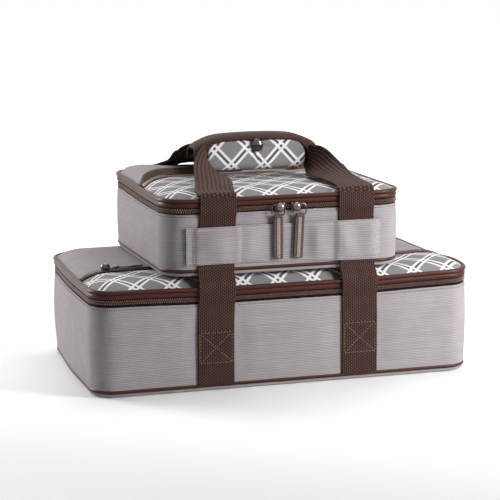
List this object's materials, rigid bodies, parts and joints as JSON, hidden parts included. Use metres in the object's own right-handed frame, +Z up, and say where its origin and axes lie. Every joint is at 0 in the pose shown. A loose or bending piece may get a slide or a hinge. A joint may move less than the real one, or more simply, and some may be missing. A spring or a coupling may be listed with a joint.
{
  "type": "double-decker casserole carrier",
  "caption": "Insulated casserole carrier in two stacked zip-lid bags, held together by webbing handles with a padded snap grip, with wire-ring zip pulls and lid pockets.",
  "frame": {"origin": "middle of the lower carrier's base, at the level it stands on", "axes": "+X along the front towards the side with the lower zip pulls, +Y to the rear, +Z up"},
  "size_m": [0.4272, 0.2562, 0.2543],
  "materials": {
    "grey_cloth": "matte",
    "plaid_cloth": "matte",
    "brown_webbing": "matte",
    "brown_trim": "satin",
    "zip_tape": "satin",
    "base_board": "matte",
    "foil_liner": "satin",
    "dark_metal": "gloss",
    "wire_metal": "polished"
  },
  "bodies": {
    "lower_tray": {"lower_base_panel": "grey_cloth", "lower_base_board": "base_board", "lower_base_piping": "brown_trim", "lower_outer_wall": "grey_cloth", "lower_tray_liner": "foil_liner", "lower_tray_zip": "zip_tape", "lower_lid_hinge": "brown_trim", "front_left_sewn_strap": "brown_webbing", "front_right_sewn_strap": "brown_webbing", "rear_left_sewn_strap": "brown_webbing", "rear_right_sewn_strap": "brown_webbing"},
    "upper_tray": {"upper_base_panel": "grey_cloth", "upper_base_board": "base_board", "upper_base_piping": "brown_trim", "upper_outer_wall": "grey_cloth", "upper_tray_liner": "foil_liner", "upper_tray_zip": "zip_tape", "upper_lid_hinge": "brown_trim", "front_sleeve_band": "grey_cloth", "rear_sleeve_band": "grey_cloth"},
    "lower_lid": {"lower_lid_zip": "zip_tape", "lower_lid_gusset": "brown_trim", "lower_lid_piping": "brown_trim", "lower_lid_liner": "foil_liner", "lower_plaid_panel": "plaid_cloth", "lower_rear_panel": "grey_cloth", "lower_pocket_tape": "brown_trim"},
    "upper_lid": {"upper_lid_zip": "zip_tape", "upper_lid_gusset": "brown_trim", "upper_lid_piping": "brown_trim", "upper_lid_liner": "foil_liner", "upper_plaid_panel": "plaid_cloth", "upper_rear_panel": "grey_cloth", "upper_pocket_tape": "brown_trim"},
    "front_straps": {"front_left_handle_strap": "brown_webbing", "front_right_handle_strap": "brown_webbing"},
    "rear_straps": {"rear_left_handle_strap": "brown_webbing", "rear_right_handle_strap": "brown_webbing"},
    "front_loop": {"front_handle_loop": "brown_webbing"},
    "rear_loop": {"rear_handle_loop": "brown_webbing", "grip_wrap": "plaid_cloth", "grip_band": "brown_webbing"},
    "grip_flap": {"grip_flap": "plaid_cloth", "grip_snap": "dark_metal"},
    "lower_pocket_slider": {"lower_pocket_slider": "dark_metal"},
    "lower_pocket_pull": {"lower_pocket_pull": "brown_trim"},
    "upper_pocket_slider": {"upper_pocket_slider": "dark_metal"},
    "upper_pocket_pull": {"upper_pocket_pull": "brown_trim"},
    "lower_front_slider": {"lower_front_slider": "dark_metal"},
    "lower_front_pull": {"lower_front_ring": "wire_metal", "lower_front_tab": "brown_webbing"},
    "lower_rear_slider": {"lower_rear_slider": "dark_metal"},
    "lower_rear_pull": {"lower_rear_ring": "wire_metal", "lower_rear_tab": "brown_webbing"},
    "upper_left_slider": {"upper_left_slider": "dark_metal"},
    "upper_left_pull": {"upper_left_ring": "wire_metal", "upper_left_tab": "brown_webbing"},
    "upper_right_slider": {"upper_right_slider": "dark_metal"},
    "upper_right_pull": {"upper_right_ring": "wire_metal", "upper_right_tab": "brown_webbing"}
  },
  "joints": [
    {"name": "upper_carrier_lift", "type": "slide", "parent": "lower_tray", "child": "upper_tray", "axis": [0, -0.4648, 0.8854], "range_m": [0, 0.4518]},
    {"name": "lower_lid_open", "type": "hinge", "parent": "lower_tray", "child": "lower_lid", "pos_m": [0, 0.1253, 0.1003], "axis": [-1, 0, 0], "range_deg": [0, 100], "deforming": ["lower_lid_hinge"]},
    {"name": "upper_lid_open", "type": "hinge", "parent": "upper_tray", "child": "upper_lid", "pos_m": [0, 0.1183, 0.19015], "axis": [-1, 0, 0], "range_deg": [0, 95], "deforming": ["upper_lid_hinge"]},
    {"name": "front_straps_fold", "type": "hinge", "parent": "lower_tray", "child": "front_straps", "pos_m": [0, -0.1261, 0.06385], "axis": [1, 0, 0], "range_deg": [0, 60], "deforming": ["front_left_handle_strap", "front_right_handle_strap"]},
    {"name": "front_loop_fold", "type": "hinge", "parent": "front_straps", "child": "front_loop", "pos_m": [0, -0.1215, 0.2026], "axis": [1, 0, 0], "range_deg": [0, 150], "deforming": ["front_handle_loop"]},
    {"name": "rear_straps_fold", "type": "hinge", "parent": "lower_tray", "child": "rear_straps", "pos_m": [0, 0.1261, 0.06385], "axis": [-1, 0, 0], "range_deg": [0, 30], "deforming": ["rear_left_handle_strap", "rear_right_handle_strap"]},
    {"name": "rear_loop_fold", "type": "hinge", "parent": "rear_straps", "child": "rear_loop", "pos_m": [0, 0.1215, 0.2026], "axis": [-1, 0, 0], "range_deg": [0, 226], "deforming": ["rear_handle_loop"]},
    {"name": "grip_flap_open", "type": "hinge", "parent": "rear_loop", "child": "grip_flap", "pos_m": [0, -0.0121, 0.21721], "axis": [1, 0, 0], "range_deg": [0, 80]},
    {"name": "lower_pocket_zip", "type": "slide", "parent": "lower_lid", "child": "lower_pocket_slider", "axis": [1, 0, 0], "range_m": [0, 0.3]},
    {"name": "upper_pocket_zip", "type": "slide", "parent": "upper_lid", "child": "upper_pocket_slider", "axis": [1, 0, 0], "range_m": [-0.01, 0.14]},
    {"name": "lower_pocket_pull_lift", "type": "hinge", "parent": "lower_pocket_slider", "child": "lower_pocket_pull", "pos_m": [-0.173, -0.045, 0.12305], "axis": [0, -1, 0], "range_deg": [0, 150]},
    {"name": "upper_pocket_pull_lift", "type": "hinge", "parent": "upper_pocket_slider", "child": "upper_pocket_pull", "pos_m": [-0.045, 0.026, 0.2119], "axis": [0, -1, 0], "range_deg": [0, 150]},
    {"name": "lower_front_zip", "type": "slide", "parent": "lower_tray", "child": "lower_front_slider", "axis": [0, -1, 0], "range_m": [0, 0.075]},
    {"name": "lower_front_pull_swing", "type": "hinge", "parent": "lower_front_slider", "child": "lower_front_pull", "pos_m": [0.2143, -0.015, 0.1013], "axis": [0, -1, 0], "range_deg": [0, 110]},
    {"name": "lower_rear_zip", "type": "slide", "parent": "lower_tray", "child": "lower_rear_slider", "axis": [0, 1, 0], "range_m": [0, 0.06]},
    {"name": "lower_rear_pull_swing", "type": "hinge", "parent": "lower_rear_slider", "child": "lower_rear_pull", "pos_m": [0.2143, 0.013, 0.1013], "axis": [0, -1, 0], "range_deg": [0, 110]},
    {"name": "upper_left_zip", "type": "slide", "parent": "upper_tray", "child": "upper_left_slider", "axis": [-1, 0, 0], "range_m": [0, 0.034]},
    {"name": "upper_left_pull_swing", "type": "hinge", "parent": "upper_left_slider", "child": "upper_left_pull", "pos_m": [-0.0105, -0.1223, 0.19115], "axis": [-1, 0, 0], "range_deg": [0, 110]},
    {"name": "upper_right_zip", "type": "slide", "parent": "upper_tray", "child": "upper_right_slider", "axis": [1, 0, 0], "range_m": [0, 0.034]},
    {"name": "upper_right_pull_swing", "type": "hinge", "parent": "upper_right_slider", "child": "upper_right_pull", "pos_m": [0.0135, -0.1223, 0.19115], "axis": [-1, 0, 0], "range_deg": [0, 110]}
  ],
  "couplings": [
    {"joint": "lower_lid_open", "follows": "upper_carrier_lift", "rad_per_m": 3.8611},
    {"joint": "upper_lid_open", "follows": "upper_carrier_lift", "rad_per_m": 3.6681},
    {"joint": "front_straps_fold", "follows": "upper_carrier_lift", "rad_per_m": 2.3167},
    {"joint": "front_loop_fold", "follows": "upper_carrier_lift", "rad_per_m": 5.7917},
    {"joint": "rear_straps_fold", "follows": "upper_carrier_lift", "rad_per_m": 1.1583},
    {"joint": "rear_loop_fold", "follows": "upper_carrier_lift", "rad_per_m": 8.7261},
    {"joint": "lower_pocket_zip", "follows": "upper_carrier_lift", "ratio": 0.66368}
  ]
}
